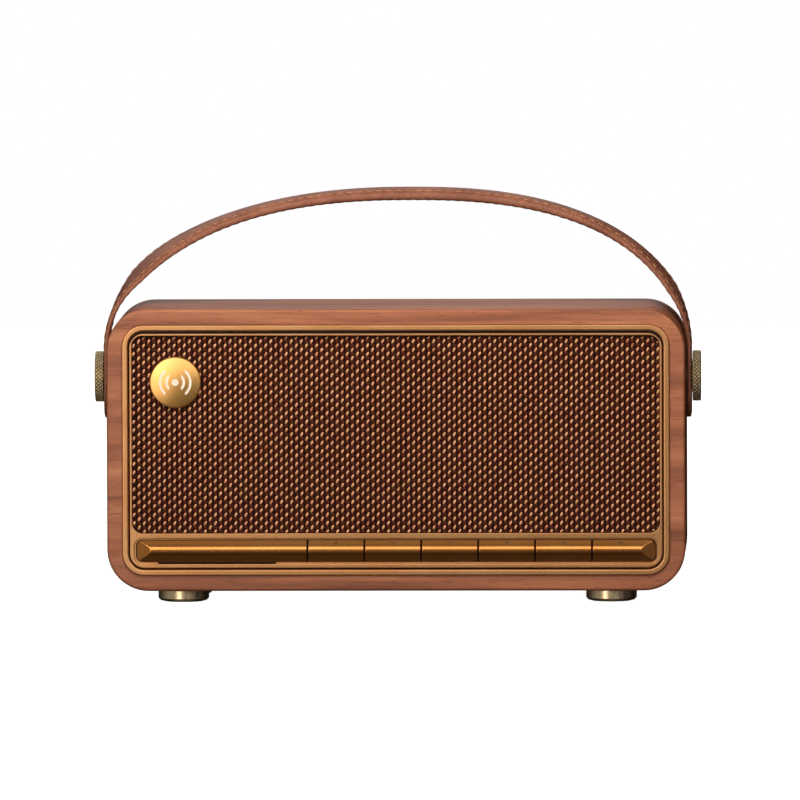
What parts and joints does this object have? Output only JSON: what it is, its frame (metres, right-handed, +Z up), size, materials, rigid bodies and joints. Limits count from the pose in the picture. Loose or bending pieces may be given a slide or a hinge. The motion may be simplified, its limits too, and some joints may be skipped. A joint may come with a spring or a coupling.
{
  "type": "portable radio",
  "caption": "Portable table radio: rounded walnut cabinet, gilt-framed woven grille with a key row under it, metal feet, and a leather strap held by knurled thumb screws.",
  "frame": {"origin": "on the table, under the middle of the cabinet: the middle of the underside of the bounding box", "axes": "+Z up; the grille faces -Y; +X to the right of someone facing the grille"},
  "size_m": [0.263, 0.0817, 0.1787],
  "materials": {
    "walnut": "satin lacquered walnut veneer, grain across the front",
    "batten_wood": "planed softwood",
    "gilt_aluminium": "satin rose-gold anodised aluminium",
    "satin_brass": "satin turned brass",
    "polished_brass": "polished pale brass",
    "knurled_brass": "aged brass, diamond knurled",
    "key_gilt": "polished metallised plastic, antique gold",
    "black_abs": "fine-textured moulded plastic",
    "white_enamel": "white enamel",
    "grille_weave": "dark brown weave with a copper-gold thread",
    "circuit_board": "green solder mask",
    "switch_plastic": "moulded plastic",
    "foam_gasket": "closed-cell foam",
    "black_steel": "black stove enamel",
    "ferrite": "ground ferrite",
    "cone_paper": "pressed paper pulp",
    "surround_rubber": "moulded rubber",
    "radiator_aluminium": "dark anodised aluminium",
    "socket_steel": "folded steel sheet",
    "cell_wrap": "blue shrink sleeve",
    "lead_sleeve": "soft plastic sleeve",
    "screw_steel": "black-oxide steel",
    "pad_rubber": "matt rubber",
    "strap_leather": "brown vegetable-tanned leather, light stitching"
  },
  "bodies": {
    "cabinet": {"cabinet": "walnut", "corner_battens": "batten_wood", "bezel": "gilt_aluminium", "front_baffle": "black_abs", "grille_frame": "gilt_aluminium", "grille_cloth": "grille_weave", "grille_backing": "black_abs", "badge": "satin_brass", "badge_inlay": "white_enamel", "trim_bar": "key_gilt", "key_board": "circuit_board", "key_switches": "switch_plastic", "driver_gaskets": "foam_gasket", "driver_baskets": "black_steel", "driver_magnets": "ferrite", "driver_cones": "cone_paper", "driver_surrounds": "surround_rubber", "rear_panel": "black_abs", "radiator_frame": "black_abs", "radiator_surround": "surround_rubber", "radiator_plate": "radiator_aluminium", "rear_grille": "black_steel", "main_board": "circuit_board", "board_components": "switch_plastic", "usb_socket": "socket_steel", "audio_jack": "switch_plastic", "card_socket": "socket_steel", "battery_cells": "cell_wrap", "battery_tray": "black_abs", "speaker_leads": "lead_sleeve", "battery_lead": "lead_sleeve", "baffle_screws": "screw_steel", "rear_panel_screws": "screw_steel", "driver_screws": "screw_steel", "key_board_screws": "screw_steel", "feet": "polished_brass", "foot_pads": "pad_rubber", "foot_screws": "screw_steel", "threaded_inserts": "satin_brass"},
    "handle": {"handle_strap": "strap_leather"},
    "left_washer": {"left_washer": "satin_brass"},
    "right_washer": {"right_washer": "satin_brass"},
    "left_thumb_screw": {"left_thumb_screw": "knurled_brass"},
    "right_thumb_screw": {"right_thumb_screw": "knurled_brass"},
    "power_key": {"power_key": "key_gilt", "power_plunger": "switch_plastic"},
    "source_key": {"source_key": "key_gilt", "source_plunger": "switch_plastic"},
    "volume_down_key": {"volume_down_key": "key_gilt", "volume_down_plunger": "switch_plastic"},
    "volume_up_key": {"volume_up_key": "key_gilt", "volume_up_plunger": "switch_plastic"},
    "previous_key": {"previous_key": "key_gilt", "previous_plunger": "switch_plastic"},
    "next_key": {"next_key": "key_gilt", "next_plunger": "switch_plastic"}
  },
  "joints": [
    {"name": "handle_swing", "type": "hinge", "parent": "cabinet", "child": "handle", "pos_m": [0, 0, 0.0962], "axis": [1, 0, 0], "range_deg": [-13, 13]},
    {"name": "left_washer_slide", "type": "slide", "parent": "cabinet", "child": "left_washer", "axis": [-1, 0, 0], "range_m": [0, 0.0014]},
    {"name": "left_screw_turn", "type": "hinge", "parent": "left_washer", "child": "left_thumb_screw", "pos_m": [-0.13, 0, 0.0962], "axis": [-1, 0, 0], "range_deg": [0, 720]},
    {"name": "right_washer_slide", "type": "slide", "parent": "cabinet", "child": "right_washer", "axis": [1, 0, 0], "range_m": [0, 0.0014]},
    {"name": "right_screw_turn", "type": "hinge", "parent": "right_washer", "child": "right_thumb_screw", "pos_m": [0.13, 0, 0.0962], "axis": [1, 0, 0], "range_deg": [0, 720]},
    {"name": "power_press", "type": "slide", "parent": "cabinet", "child": "power_key", "axis": [0, 1, 0], "range_m": [0, 0.001], "stiffness_N_per_m": 1000, "springref_m": -0.001},
    {"name": "source_press", "type": "slide", "parent": "cabinet", "child": "source_key", "axis": [0, 1, 0], "range_m": [0, 0.001], "stiffness_N_per_m": 1000, "springref_m": -0.001},
    {"name": "volume_down_press", "type": "slide", "parent": "cabinet", "child": "volume_down_key", "axis": [0, 1, 0], "range_m": [0, 0.001], "stiffness_N_per_m": 1000, "springref_m": -0.001},
    {"name": "volume_up_press", "type": "slide", "parent": "cabinet", "child": "volume_up_key", "axis": [0, 1, 0], "range_m": [0, 0.001], "stiffness_N_per_m": 1000, "springref_m": -0.001},
    {"name": "previous_press", "type": "slide", "parent": "cabinet", "child": "previous_key", "axis": [0, 1, 0], "range_m": [0, 0.001], "stiffness_N_per_m": 1000, "springref_m": -0.001},
    {"name": "next_press", "type": "slide", "parent": "cabinet", "child": "next_key", "axis": [0, 1, 0], "range_m": [0, 0.001], "stiffness_N_per_m": 1000, "springref_m": -0.001}
  ],
  "couplings": [
    {"joint": "left_screw_turn", "follows": "left_washer_slide", "rad_per_m": 8976},
    {"joint": "right_screw_turn", "follows": "right_washer_slide", "rad_per_m": 8976}
  ]
}
